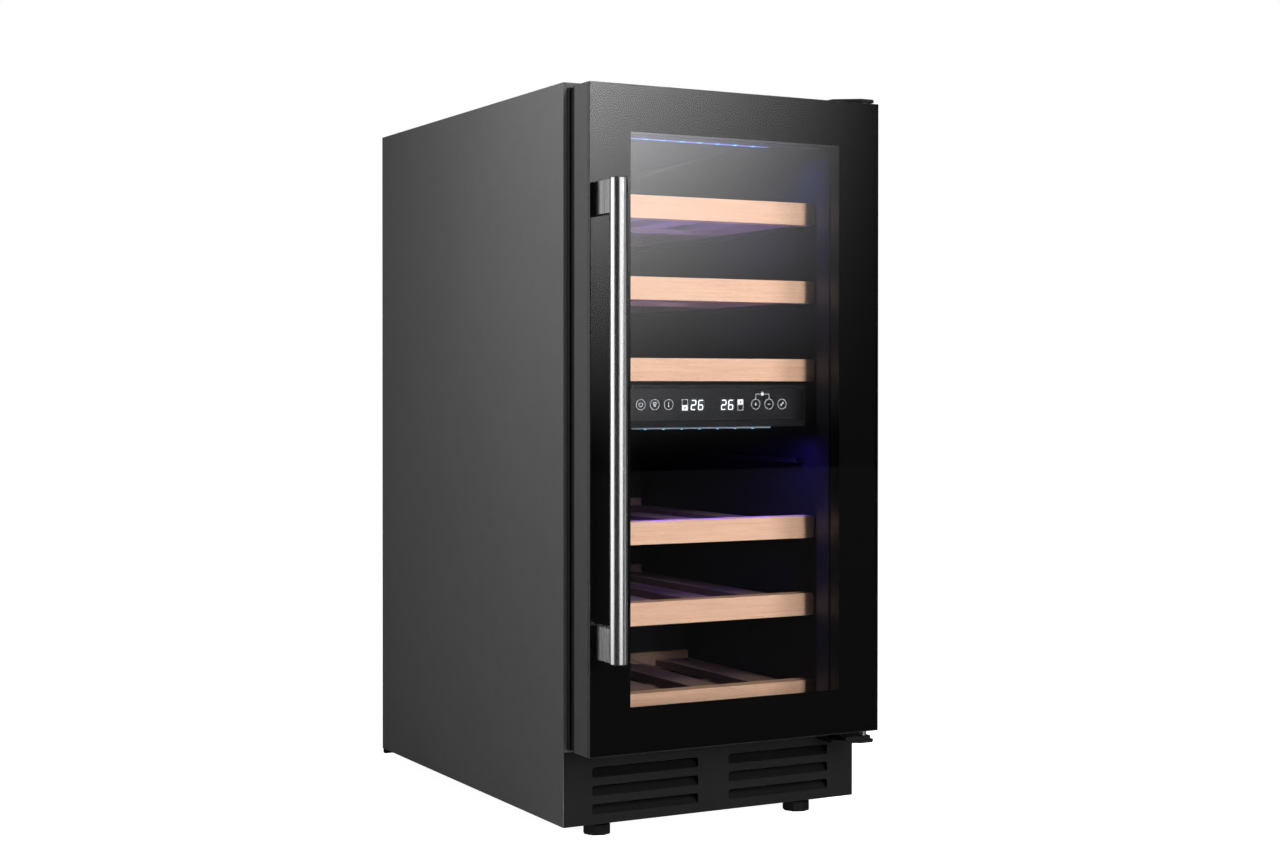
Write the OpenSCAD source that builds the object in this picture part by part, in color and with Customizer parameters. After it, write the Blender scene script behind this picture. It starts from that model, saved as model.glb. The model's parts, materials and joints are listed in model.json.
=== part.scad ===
// Free-standing two-zone wine cooler with a glass door hinged on the right.
// The pieces are drawn with x = 0 on the centre line, y = 0 on the cabinet's front face and z = 0 on
// the floor. placed() then moves them, so that the origin is under the middle of the whole object.

/* [Cabinet] */
// Width over the side panels
cabinet_w = 380; // [310:1:480]
// Depth from the front face to the rear edges of the side panels
cabinet_d = 516; // [425:1:640]
// Height of the top panel above the floor
cabinet_h = 820; // [680:1:1000]
// Height of the base pan above the floor
foot_h = 17; // [14:1:30]
// Height from the base pan to the floor of the cold space
base_h = 105; // [95:1:140]
// Thickness of the insulated walls
wall_t = 35; // [28:1:42]
// Thickness of the steel sheets
sheet_t = 1.2; // [0.8:0.1:2]
// Thickness of the plastic liner
liner_t = 2; // [1.5:0.5:3]
// Width of the steel flange round the cabinet's front
flange_w = 18; // [12:1:24]
// Depth of the machine space at the bottom rear, outside to cold side
machine_d = 202; // [190:1:244]
// Clearance between pieces that do not touch
gap = 0.3; // [0.2:0.05:0.5]

/* [Zones] */
// Height of the step over the machine space, above the floor of the cold space
step_h = 93; // [80:1:120]
// Height of the divider between the two zones
divider_h = 48; // [44:1:60]
// How far the divider sits below the middle of the space above the step
divider_drop = 29; // [0:1:40]
// Height from the top shelf's underside to the roof of the cold space
top_room = 105; // [90:1:130]
// Height left free over the spare pair of runners
spare_room = 40; // [20:1:60]
// Depth kept behind the air covers for the evaporators and their fans
duct_d = 45; // [42:1:60]
// Thickness of the air covers and of the divider's walls
cover_t = 2.5; // [2:0.1:4]

/* [Shelves] */
// Distance from the cabinet's front face to the shelf fronts
shelf_setback = 20; // [12:1:30]
// Side clearance between a shelf and the liner
shelf_side_gap = 5; // [3:0.5:8]
// Height of a shelf's wooden front
front_h = 25.6; // [22:0.2:30]
// Thickness of a shelf's wooden front
front_t = 19; // [15:1:24]
// Corner radius of a shelf's wooden front
front_r = 3; // [1:0.5:5]
// Number of slats on a shelf
slat_n = 4; // [3:1:6]
// Width of a slat
slat_w = 38; // [20:1:40]
// Distance from the end of a shelf to the middle of its outer slat
slat_inset = 31.5; // [28:0.5:36]
// Height of the spacer battens under the slats
batten_h = 6; // [4:1:8]
// Thickness of a slat
slat_t = 10; // [8:0.5:11]
// Height that a bottom shelf keeps above the surface under it
shelf_lift = 4; // [3:0.5:8]
// Height of the step shelf above the step
step_shelf_lift = 12; // [8:1:20]
// Width of a runner on the liner's side wall
runner_w = 10; // [8:1:12]

/* [Door] */
// Gap from the door's sides to the cabinet's sides
door_side_gap = 3.5; // [2:0.5:6]
// Gap from the door's top to the cabinet's top
door_top_gap = 6; // [5:0.5:8]
// How far the door hangs below the floor of the cold space
door_drop = 21; // [19:1:26]
// Thickness of the door from its glass to the back of its frame
door_t = 34.4; // [30:0.2:41.4]
// Space between the door's frame and the cabinet's front face
seal_gap = 19.4; // [16:0.2:22]
// Thickness of a glass pane
glass_t = 4; // [3:0.5:5]
// Space between the two panes
pane_gap = 16; // [12:1:18]
// Width of the opaque border at the sides of the glass
border_side = 51.5; // [48:0.5:60]
// Width of the opaque border at the top and the bottom of the glass
border_end = 49.7; // [46:0.1:60]
// How far the window's inner sill lies below the glass's border
sill_drop = 9; // [0:0.5:12]
// Wall thickness of the frame's profile
frame_wall = 3; // [2:0.5:4]
// Width of the gasket
gasket_w = 18; // [14:1:20]
// Distance from the door's edge to the gasket
gasket_inset = 0.5; // [0:0.5:4]
// Space left between the gasket and the cabinet's face
gasket_gap = 1.1; // [1:0.1:1.5]

/* [Handle] */
// Diameter of the handle's bar
handle_dia = 19; // [14:0.5:26]
// Distance from the glass to the bar's axis
handle_reach = 40.6; // [32:0.2:60]
// Distance from the door's free edge to the bar's axis
handle_inset = 12.4; // [10:0.2:30]
// Distance from the door's top to the bar's end
handle_top = 104.5; // [60:0.5:130]
// Distance from the door's bottom to the bar's end
handle_bottom = 103.5; // [60:0.5:130]
// Width of a handle post
post_w = 11; // [8:0.5:16]
// Height of a handle post
post_h = 35; // [28:1:44]

/* [Hinge] */
// Diameter of the hinge pins
pin_dia = 8; // [6:0.5:9]
// Running clearance of a pin in its bush, on the radius
pin_play = 0.05; // [0.02:0.01:0.08]
// Distance from the door's hinged edge to the pins' axis
pivot_inset = 7.5; // [7:0.5:9]
// Distance from the cabinet's face forward to the pins' axis
pivot_reach = 35; // [35:0.2:38]
// Thickness of the hinge plates
plate_t = 3; // [2:0.5:4]
// Width of the hinge plates
plate_w = 49; // [40:1:60]

/* [Machinery] */
// Diameter of the compressor's housing
compressor_dia = 124; // [110:1:128]
// Height of the compressor's housing
compressor_h = 134; // [110:1:136]
// Diameter of an evaporator fan
evap_fan_dia = 84; // [60:1:88]
// Diameter of the condenser fan
cond_fan_dia = 104; // [80:1:110]
// Diameter of the condenser's tube
tube_dia = 4.8; // [4:0.2:6]
// Diameter of a foot
foot_dia = 31; // [26:1:40]
// Distance from the cabinet's side to a foot's axis
foot_inset = 58; // [40:1:70]
// Distance from the cabinet's front face to the front feet's axes
foot_front = 31; // [28:1:50]
// Distance from the cabinet's back to the rear feet's axes
foot_rear = 60; // [40:1:80]

/* [Hidden] */
$fn = 48;

cut = 1;                       // how far a cutting tool runs past a surface
head_t = 1.2;                  // height of the screw heads on the back
half_w = cabinet_w / 2;
sheet_x = half_w - sheet_t;    // inner face of the side panels
cold_x = half_w - wall_t;      // inner face of the liner's side walls
cold_y = cabinet_d - wall_t;   // inner face of the liner's back wall
rear_y = cabinet_d - head_t;   // outer face of the back panel
foam_y = rear_y - sheet_t;     // inner face of the back panel
pan_z = foot_h + sheet_t;      // top face of the base pan
floor_z = foot_h + base_h;     // floor of the cold space
roof_z = cabinet_h - wall_t;   // roof of the cold space
step_y = cabinet_d - machine_d;
step_z = floor_z + step_h;
machine_y = step_y + wall_t;   // front of the machine space
machine_z = step_z - wall_t;   // roof of the machine space
duct_z = floor_z - wall_t;     // roof of the air duct under the cold space
kick_top = floor_z - 24;
kick_t = 2;
duct_y = cold_y - duct_d;      // front face of the air covers

divider_z = (step_z + roof_z) / 2 - divider_drop;
divider_top = divider_z + divider_h / 2;
divider_bottom = divider_z - divider_h / 2;
upper_first = divider_top + shelf_lift;
upper_pitch = (roof_z - top_room - upper_first) / 2;
lower_second = step_z + step_shelf_lift;
lower_pitch = (divider_bottom - spare_room - lower_second) / 2;
// undersides of the shelf fronts, from the top shelf down
shelf_z = [
    upper_first + 2 * upper_pitch, upper_first + upper_pitch, upper_first,
    lower_second + lower_pitch, lower_second, floor_z + shelf_lift
];
spare_z = lower_second + 2 * lower_pitch;
shelf_x = cold_x - shelf_side_gap;
rack_y = shelf_setback + front_t;     // back face of the shelf fronts
rail_t = 8.5;                         // thickness of a shelf's rear rail
rail_play = 2.5;                      // space behind a shelf's rear rail
slat_step = 2;                        // how much lower and narrower the ends of a slat are
slat_end = 34;                        // length of the lower ends of a slat
slat_pitch = 2 * (shelf_x - slat_inset) / (slat_n - 1);
batten_z = 2;                         // battens above the underside of the shelf front
batten_w = 8;
runner_y = shelf_setback + 30;
runner_play = 0.3;

// touch panel in the divider's front and the board behind it
panel_x = cold_x - 20.4;
panel_h = 36;
panel_z = divider_bottom + 25.7;
board_x = panel_x - 14;

door_x = half_w - door_side_gap;
door_z0 = floor_z - door_drop;
door_z1 = cabinet_h - door_top_gap;
frame_y = -seal_gap;                  // back of the door's frame
door_y = frame_y - door_t;            // front of the door's glass
glass_y = door_y + glass_t;           // back of the outer pane
inner_pane_y = glass_y + pane_gap;
window_x = door_x - border_side;
window_z0 = door_z0 + border_end;
window_z1 = door_z1 - border_end;
spacer_w = 8;
inner_pane_x = window_x + spacer_w;
sill_z = window_z0 - sill_drop;         // lower edge of the opening behind the glass
inner_pane_z0 = sill_z - spacer_w;
inner_pane_z1 = window_z1 + spacer_w;
lip_t = 1.5;                          // thickness of the frame's front lip behind the glass
liner_back = -6;                      // back face of the door's plastic liner
liner_w = 22;
wall_end = 0.2;                       // play of the plastic liner against glass and frame

handle_x = -door_x + handle_inset;
handle_y = door_y - handle_reach;
handle_z0 = door_z0 + handle_bottom;
handle_z1 = door_z1 - handle_top;
post_setback = 1;                      // from the bar's end to the post
post_z = [handle_z0 + post_setback + post_h / 2, handle_z1 - post_setback - post_h / 2];
handle_screw_r = 2.4;
handle_screw_z = [-10, 10];           // heights of the two screws in a post, from its middle
handle_screw_reach = (handle_reach - handle_dia / 2) * 0.7;  // length of a handle screw inside its post

pivot_x = door_x - pivot_inset;
pivot_y = -pivot_reach;
pin_r = pin_dia / 2;
bush_r = pin_r + 2.2;
bush_h = 20;
corner_w = 22;                        // solid corner of the frame that holds a bush
plate_x1 = sheet_x - gap;
plate_x0 = plate_x1 - plate_w;
plate_rear = 40;
plate_front = pivot_y - 12;
top_plate_z = cabinet_h - plate_t;
low_plate_z = duct_z - plate_t + 2.5;
riser_t = 4;                          // thickness of the pad that carries the lower pin
anchor_t = 12;
hinge_screw_y = [14, 30];
hinge_screw_x = [plate_x0 + 10, plate_x1 - 10];
hinge_screw_r = 2.4;
hinge_screw_len = 11;
hinge_head_t = 1.8;
hinge_head_r = 4;
riser_x0 = plate_x0 + 12;
riser_x1 = plate_x1 - 3;
riser_top = low_plate_z + plate_t + riser_t;
riser_screw_x = [pivot_x - 14, pivot_x + 3];
riser_screw_y = -13;
riser_screw_r = 2;

compressor_x = -sheet_x + 12 + compressor_dia / 2;
compressor_y = (machine_y + foam_y) / 2;
compressor_z = pan_z + 12;
shell_t = 3.2;
shell_seam = 0.45 * compressor_h;     // height at which the two halves of the housing meet
grommet_x = compressor_dia / 2 - 14;
grommet_y = compressor_dia / 2 - 18;
grommet_r = 7;
evap_x = 105;
evap_fan_z = [roof_z - 60, divider_bottom - 58];
evap_z = [[divider_top + 30, roof_z - 115], [step_z + 18, divider_bottom - 112]];
evap_fan_y = duct_y + 14;
motor_r = 16;
shaft_r = 2;                          // fan motors' shafts
fan_frame_w = cond_fan_dia + 14;
fan_frame_x = compressor_x + compressor_dia / 2 + 12;
fan_frame_t = 24;
fan_z = pan_z + gap + fan_frame_w / 2;

foot_x = half_w - foot_inset;
foot_rear_y = cabinet_d - foot_rear;
stud_r = 4;
boss_r = stud_r + 4;
boss_h = 7;                           // height of a foot's boss above the base pan

cover_screw_x = half_w - flange_w - 7;
cover_screw_z = [pan_z + 20, machine_z - 10];
cover_screw_r = 2;
inlet_x = half_w - 45;
inlet_z = pan_z + 40;
inlet_w = 28;
inlet_h = 22;

// The object reaches from the handle's front to the cabinet's back.
total_d = handle_dia / 2 - handle_y + cabinet_d;
front_y = total_d / 2 - cabinet_d;

module placed() {
    translate([0, front_y, 0]) children();
}

// Box between two corners
module block(x0, x1, y0, y1, z0, z1) {
    translate([x0, y0, z0]) cube([x1 - x0, y1 - y0, z1 - z0]);
}

// Box that is the same on both sides of the centre line
module wide(x, y0, y1, z0, z1) {
    block(-x, x, y0, y1, z0, z1);
}

module both_sides() {
    children();
    mirror([1, 0, 0]) children();
}

module rod_y(x, z, y0, y1, r) {
    translate([x, y0, z]) rotate([-90, 0, 0]) cylinder(r = r, h = y1 - y0);
}

module rod_x(y, z, x0, x1, r) {
    translate([x0, y, z]) rotate([0, 90, 0]) cylinder(r = r, h = x1 - x0);
}

module rod_z(x, y, z0, z1, r) {
    translate([x, y, z0]) cylinder(r = r, h = z1 - z0);
}

// Outline in the side view (y, z), extruded across the width
module side_profile(x, outline) {
    translate([-x, 0, 0]) rotate([90, 0, 90]) linear_extrude(2 * x) polygon(outline);
}

// Outline in the front view (x, z), extruded from y0 to y1
module front_profile(y0, y1, outline) {
    translate([0, y1, 0]) rotate([90, 0, 0]) linear_extrude(y1 - y0) polygon(outline);
}

// Rectangular frame round an opening, seen from the front; its lower bar is thinner by less
module frame_ring(x, z0, z1, w, y0, y1, less = 0) {
    difference() {
        wide(x, y0, y1, z0, z1);
        wide(x - w, y0 - cut, y1 + cut, z0 + w - less, z1 - w);
    }
}

// Slot with round ends that runs across the width, cut through a panel
module slot_y(x0, x1, z, h, y0, y1) {
    block(x0 + h / 2, x1 - h / 2, y0, y1, z - h / 2, z + h / 2);
    rod_y(x0 + h / 2, z, y0, y1, h / 2);
    rod_y(x1 - h / 2, z, y0, y1, h / 2);
}

// Rectangular slot with rounded corners that runs across the width, cut through a panel
module louvre_y(x0, x1, z, h, y0, y1, r) {
    block(x0 + r, x1 - r, y0, y1, z - h / 2, z + h / 2);
    block(x0, x1, y0, y1, z - h / 2 + r, z + h / 2 - r);
    for (x = [x0 + r, x1 - r], dz = [r - h / 2, h / 2 - r]) rod_y(x, z + dz, y0, y1, r);
}

// ---- Cabinet ----

module hinge_notches() {
    block(plate_x0 - gap, sheet_x, -cut, plate_rear + gap, top_plate_z - gap, cabinet_h + cut);
    block(plate_x0 - gap, sheet_x, -cut, kick_t + gap, low_plate_z - gap, kick_top + cut);
}

// One side panel with its front and rear flanges, drawn on the left
module side_panel() {
    block(-half_w, -sheet_x, 0, cabinet_d, foot_h, cabinet_h);
    front_profile(0, sheet_t, [
        [-half_w, kick_top], [-half_w + flange_w, kick_top],
        [-half_w + flange_w, cabinet_h - flange_w], [-half_w, cabinet_h]
    ]);
    block(-half_w, -half_w + flange_w, rear_y, cabinet_d, foot_h, cabinet_h - sheet_t);
}

module side_panel_left() {
    color("#4a4b4d") side_panel();
}

module side_panel_right() {
    color("#4a4b4d") difference() {
        mirror([1, 0, 0]) side_panel();
        hinge_notches();
    }
}

module top_panel() {
    seam = 0.5;
    upper = sheet_x - seam;
    lower = half_w - flange_w - seam;
    color("#4a4b4d") difference() {
        union() {
            wide(sheet_x, 0, rear_y, cabinet_h - sheet_t, cabinet_h);
            front_profile(0, sheet_t, [
                [-upper, cabinet_h - sheet_t], [-lower, cabinet_h - flange_w],
                [lower, cabinet_h - flange_w], [upper, cabinet_h - sheet_t]
            ]);
        }
        hinge_notches();
    }
}

module back_panel() {
    color("#8d8f92") wide(sheet_x - gap, foam_y, rear_y, machine_z + sheet_t, cabinet_h - sheet_t - gap);
}

module compressor_cover() {
    pitch = 10;
    slot_top = machine_z - 25;
    rows = floor((slot_top - inlet_z - inlet_h / 2) / pitch);
    color("#8d8f92") difference() {
        wide(sheet_x - gap, foam_y, rear_y, pan_z + gap, machine_z + sheet_t - gap);
        both_sides() for (i = [0 : rows - 1])
            slot_y(8, sheet_x - 25, slot_top - pitch * i, 4, foam_y - cut, rear_y + cut);
        block(inlet_x - inlet_w / 2, inlet_x + inlet_w / 2, foam_y - cut, rear_y + cut,
              inlet_z - inlet_h / 2, inlet_z + inlet_h / 2);
        both_sides() for (z = cover_screw_z)
            rod_y(cover_screw_x, z, foam_y - cut, rear_y + cut, cover_screw_r);
    }
}

// Holes on the four feet's axes
module foot_points() {
    both_sides() for (y = [foot_front, foot_rear_y]) translate([foot_x, y, 0]) children();
}

module base_pan() {
    color("#3a3b3d") difference() {
        union() {
            wide(sheet_x, kick_t + gap, foam_y, foot_h, pan_z);
            // upstand inside the compressor cover
            wide(sheet_x, foam_y - 3 * sheet_t, foam_y - 2 * sheet_t, foot_h, pan_z + 14);
            // rear base rail
            wide(sheet_x, foam_y - 4, cabinet_d, foot_h - 6, foot_h);
            foot_points() rod_z(0, 0, foot_h, pan_z + boss_h, boss_r);
        }
        foot_points() rod_z(0, 0, 0, pan_z + boss_h + cut, stud_r + pin_play);
    }
}

// Sheet that closes the foam over the air duct and the machine space
module machine_panel() {
    color("#9b9da0") difference() {
        side_profile(sheet_x - gap, [
            [kick_t + gap, duct_z], [machine_y, duct_z], [machine_y, machine_z], [foam_y - gap, machine_z],
            [foam_y - gap, machine_z + sheet_t], [machine_y - sheet_t, machine_z + sheet_t],
            [machine_y - sheet_t, duct_z + sheet_t], [kick_t + gap, duct_z + sheet_t]
        ]);
        hinge_anchor_space(low_plate_z - gap, low_plate_z + plate_t + anchor_t + gap);
    }
}

module kick_grille() {
    rows = 3;
    slot_h = 11;
    pitch = 20;
    slot_top = kick_top - 24.5;
    inner_end = 20;
    outer_end = half_w - 35.6;
    corner_r = 2.4;
    blade_t = 1.2;
    blade_d = 14;
    color("#1b1b1c") difference() {
        wide(sheet_x - gap, 0, kick_t, foot_h, kick_top);
        both_sides() for (i = [0 : rows - 1])
            louvre_y(inner_end, outer_end, slot_top - i * pitch, slot_h, -cut, kick_t + cut, corner_r);
        hinge_notches();
    }
    // sloping louvre blades behind the slots
    color("#1b1b1c") both_sides() for (i = [0 : rows - 1])
        translate([inner_end - 4, kick_t - blade_t, slot_top - i * pitch - slot_h / 2 - 2])
            rotate([40, 0, 0]) cube([outer_end - inner_end + 8, blade_d, blade_t]);
}

// The cold space grown by g on its closed sides
function cold_outline(g) = [
    [-cut, floor_z - g], [step_y + g, floor_z - g], [step_y + g, step_z - g], [cold_y + g, step_z - g],
    [cold_y + g, roof_z + g], [-cut, roof_z + g]
];

module inner_liner() {
    lip_x = half_w - flange_w - gap;
    color("#232325") difference() {
        union() {
            intersection() {
                side_profile(cold_x + liner_t, cold_outline(liner_t));
                wide(half_w, 0, cabinet_d, 0, cabinet_h);
            }
            wide(lip_x, 0, liner_t, kick_top + gap, cabinet_h - flange_w - gap);
        }
        side_profile(cold_x, cold_outline(0));
        block(plate_x0 - gap, sheet_x, -cut, liner_t + cut, low_plate_z, kick_top + 1);
    }
}

module insulation_foam() {
    foam_x = sheet_x - gap;
    back = foam_y - gap;
    top = cabinet_h - sheet_t - gap;
    low = duct_z + sheet_t;
    step_low = machine_z + sheet_t;
    color("#e8dfae") difference() {
        side_profile(foam_x, [
            [liner_t + gap, low + gap], [machine_y - sheet_t - gap, low + gap],
            [machine_y - sheet_t - gap, step_low + gap], [back, step_low + gap], [back, top],
            [liner_t + gap, top]
        ]);
        side_profile(cold_x + liner_t, cold_outline(liner_t));
        hinge_anchor_space(duct_z, low_plate_z + plate_t + anchor_t + gap);
        hinge_anchor_space(top_plate_z - anchor_t - gap, cabinet_h);
    }
}

module runner_pair(z, y1) {
    both_sides() block(cold_x - runner_w, cold_x, runner_y, y1, z - 4, z + batten_z - runner_play);
}

module shelf_runners() {
    color("#1f1f21") {
        for (i = [0 : 4]) runner_pair(shelf_z[i], duct_y - 1);
        runner_pair(spare_z, duct_y - 1);
        runner_pair(shelf_z[5], step_y);
    }
}

// ---- Divider, controls and lights ----

module zone_divider() {
    front_wall = 4.5;
    color("#19191b") difference() {
        wide(cold_x - gap, shelf_setback, duct_y - gap, divider_bottom, divider_top);
        wide(cold_x - gap - cover_t, shelf_setback + front_wall, duct_y, divider_bottom + cover_t,
             divider_top - cover_t);
        wide(panel_x + gap, shelf_setback - cut, shelf_setback + 2, panel_z - panel_h / 2 - gap,
             panel_z + panel_h / 2 + gap);
        wide(board_x - 4, shelf_setback, shelf_setback + front_wall + cut, panel_z - panel_h / 2 + 5,
             panel_z + panel_h / 2 - 5);
    }
}

module control_panel() {
    color("#0c0c0e") wide(panel_x, shelf_setback, shelf_setback + 1.8, panel_z - panel_h / 2,
                          panel_z + panel_h / 2);
}

module control_board() {
    board_y = shelf_setback + 4.8;
    board_t = 1.6;
    color("#1f6b3a") difference() {
        union() {
            wide(board_x, board_y, board_y + board_t, panel_z - 14, panel_z + 14);
            wide(16, board_y - 2.5, board_y, panel_z - 9, panel_z + 9);
            block(24, 60, board_y + board_t, board_y + board_t + 14, panel_z - 8, panel_z + 8);
        }
        both_sides() rod_y(board_x - 5, panel_z, board_y - cut, board_y + board_t + cut, 1.6);
    }
}

module led_strips() {
    half = 92;
    y = shelf_setback + 4;
    w = 12;
    color("#cfe6ff") {
        wide(half, y, y + w, roof_z - 16, roof_z);
        wide(half, y, y + w, divider_bottom - 1.8, divider_bottom);
    }
}

// ---- Cold circuit behind the air covers ----

// Round grille of parallel slots in an air cover
module fan_grille(z) {
    r = evap_fan_dia / 2;
    bars = 7;
    for (i = [0 : bars - 1]) {
        dz = (i - (bars - 1) / 2) * 2 * r / bars;
        half = sqrt(r * r - dz * dz) - 1;
        slot_y(-half, half, z + dz, 5, duct_y - cut, duct_y + cover_t + cut);
    }
}

module evaporator_covers() {
    side = cold_x - gap;
    color("#262628") {
        difference() {
            wide(side, duct_y, duct_y + cover_t, divider_top + gap, roof_z - gap);
            fan_grille(evap_fan_z[0]);
            slot_y(-side + 30, side - 30, divider_top + 14, 6, duct_y - cut, duct_y + cover_t + cut);
        }
        difference() {
            wide(side, duct_y, duct_y + cover_t, step_z + gap, divider_bottom - gap);
            fan_grille(evap_fan_z[1]);
            slot_y(-side + 30, side - 30, step_z + 26, 5, duct_y - cut, duct_y + cover_t + cut);
        }
    }
}

// Finned evaporator with three tube rows
module evaporator(z0, z1) {
    fins = 22;
    fin_t = 0.8;
    y0 = duct_y + cover_t + 6;
    y1 = cold_y - 6;
    for (i = [0 : fins - 1]) {
        x = -evap_x + i * (2 * evap_x - fin_t) / (fins - 1);
        block(x, x + fin_t, y0, y1, z0, z1);
    }
    for (i = [0 : 2])
        rod_x((y0 + y1) / 2, z0 + (i + 0.5) * (z1 - z0) / 3, -evap_x - 6, evap_x + 6, tube_dia);
}

module evaporators() {
    color("#b9bec4") for (z = evap_z) evaporator(z[0], z[1]);
}

// Sensor housings on the air covers, one in each zone
module temperature_sensors() {
    color("#e6e6e2") for (z = [roof_z - 32, divider_bottom - 24]) difference() {
        block(-cold_x + 28, -cold_x + 44, duct_y - 6.5, duct_y, z - 12, z + 12);
        for (dz = [-6, 0, 6]) slot_y(-cold_x + 31, -cold_x + 41, z + dz, 2.4, duct_y - 7, duct_y - 5);
    }
}

module fan_motors() {
    color("#2b2b2e") for (z = evap_fan_z) {
        rod_y(0, z, evap_fan_y + 14, cold_y, motor_r);
        rod_y(0, z, evap_fan_y + 6, evap_fan_y + 14, shaft_r);
        // crossed arms that carry the motor on the liner
        for (a = [45, 135]) translate([0, 0, z]) rotate([0, a, 0])
            block(-evap_fan_dia / 2, evap_fan_dia / 2, cold_y - 4, cold_y, -3, 3);
    }
}

// Axial fan on the y axis, its bore running on the motor's shaft
module axial_fan(r, hub_r, depth, blades, bore_r, bore_from) {
    difference() {
        union() {
            rod_y(0, 0, 0, depth, hub_r);
            for (i = [0 : blades - 1])
                rotate([0, i * 360 / blades, 0]) translate([0, depth / 2, 0]) intersection() {
                    translate([hub_r - 2, 0, 0]) rotate([35, 0, 0]) cube([r - hub_r + 2, 1.6, 2 * hub_r]);
                    rod_y(0, 0, -depth / 2, depth / 2, r);
                }
        }
        rod_y(0, 0, bore_from, depth + cut, bore_r);
    }
}

module evap_fan(z) {
    color("#3d3d40") translate([0, evap_fan_y, z])
        axial_fan(evap_fan_dia / 2, 14, 12, 5, shaft_r + pin_play, 4);
}

module fan_upper() {
    evap_fan(evap_fan_z[0]);
}

module fan_lower() {
    evap_fan(evap_fan_z[1]);
}

// ---- Machine space ----

module compressor_lower_shell() {
    r = compressor_dia / 2;
    bend = 10;
    color("#151516") translate([compressor_x, compressor_y, compressor_z]) {
        rotate_extrude() difference() {
            union() {
                square([r - bend, shell_seam]);
                translate([0, bend]) square([r, shell_seam - bend]);
                translate([r - bend, bend]) circle(r = bend);
            }
            translate([0, shell_t]) square([r - bend, shell_seam]);
            translate([0, bend]) square([r - shell_t, shell_seam]);
        }
        // foot plates
        both_sides() difference() {
            block(grommet_x - 16, grommet_x + 12, -r + 6, r - 6, -3, 0);
            for (y = [-grommet_y, grommet_y]) rod_z(grommet_x, y, -4, 1, 5);
        }
    }
}

module compressor_upper_shell() {
    r = compressor_dia / 2;
    h = compressor_h - shell_seam;
    dome = 26;
    color("#151516") translate([compressor_x, compressor_y, compressor_z + shell_seam]) {
        rotate_extrude() difference() {
            union() {
                square([r, h - dome]);
                square([r - dome, h]);
                translate([r - dome, h - dome]) circle(r = dome);
            }
            translate([0, -cut]) square([r - shell_t, h - dome + cut]);
            translate([0, -cut]) square([r - dome, h - shell_t + cut]);
            translate([r - dome, h - dome]) circle(r = dome - shell_t);
        }
        // terminal box and process tubes
        block(r - 8, r + 9, -18, 18, 4, 34);
        for (y = [-16, 16]) rod_z(-r + 12, y, h - dome + 4, h + 6, 3);
    }
}

module compressor_grommets() {
    color("#101010") translate([compressor_x, compressor_y, 0]) both_sides()
        for (y = [-grommet_y, grommet_y]) {
            rod_z(grommet_x, y, pan_z, compressor_z - 3, grommet_r);
            rod_z(grommet_x, y, compressor_z - 3, compressor_z + 2, 5 - pin_play);
        }
}

// Serpentine condenser lying in the air duct behind the kick grille
module condenser_coil() {
    pitch = 22;
    y0 = 40;
    passes = 2 * floor((machine_y - y0 - 20) / (2 * pitch));
    r = tube_dia / 2;
    x = sheet_x - y0;
    z = (pan_z + duct_z) / 2;
    color("#b0703c") {
        for (i = [0 : passes - 1]) rod_x(y0 + i * pitch, z, -x, x, r);
        for (i = [0 : passes - 2])
            translate([i % 2 == 0 ? x : -x, y0 + (i + 0.5) * pitch, z])
                rotate([0, 0, i % 2 == 0 ? -90 : 90])
                    rotate_extrude(angle = 180) translate([pitch / 2, 0]) circle(r = r);
        // brackets that carry the coil on the base pan
        both_sides() block(0.6 * x - 1, 0.6 * x + 1, y0 - 8, y0 + (passes - 1) * pitch + 8, pan_z, z + r + 2);
    }
}

module condenser_fan_frame() {
    w = fan_frame_w;
    color("#202022") translate([fan_frame_x, compressor_y, fan_z]) {
        difference() {
            block(0, fan_frame_t, -w / 2, w / 2, -w / 2, w / 2);
            rod_x(0, 0, -cut, fan_frame_t + cut, cond_fan_dia / 2 + 1.5);
        }
        rod_x(0, 0, fan_frame_t - 8, fan_frame_t, 18);
        rod_x(0, 0, 6, fan_frame_t, shaft_r);
        for (a = [0, 90])
            rotate([a + 45, 0, 0]) block(fan_frame_t - 4, fan_frame_t, -w / 2 + 1, w / 2 - 1, -3, 3);
    }
}

module condenser_fan() {
    color("#3d3d40") translate([fan_frame_x, compressor_y, fan_z]) rotate([0, 0, -90])
        translate([0, 2, 0]) axial_fan(cond_fan_dia / 2, 18, 12, 7, shaft_r + pin_play, 3);
}

module drain_tray() {
    x0 = fan_frame_x + fan_frame_t + 12;
    x1 = sheet_x - 8;
    y0 = machine_y + 12;
    y1 = foot_rear_y - boss_r - 4;
    h = 22;
    t = 2;
    color("#2d2d30") difference() {
        block(x0, x1, y0, y1, pan_z, pan_z + h);
        block(x0 + t, x1 - t, y0 + t, y1 - t, pan_z + t, pan_z + h + cut);
    }
}

module power_inlet() {
    depth = 20;
    x = inlet_w / 2;
    z = inlet_h / 2;
    translate([inlet_x, 0, inlet_z]) {
        color("#161617") difference() {
            union() {
                wide(x - gap, rear_y - depth, rear_y, gap - z, z - gap);
                wide(x + 4, rear_y, cabinet_d, -z - 4, z + 4);
            }
            wide(x - 2, cabinet_d - 16, cabinet_d + cut, 3 - z, z - 3);
        }
        color("#c9c9cc") for (dx = [-7, 0, 7])
            block(dx - 1, dx + 1, rear_y - depth + 3, rear_y - 5, -2, 2);
    }
}

// ---- Hinges ----

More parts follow.
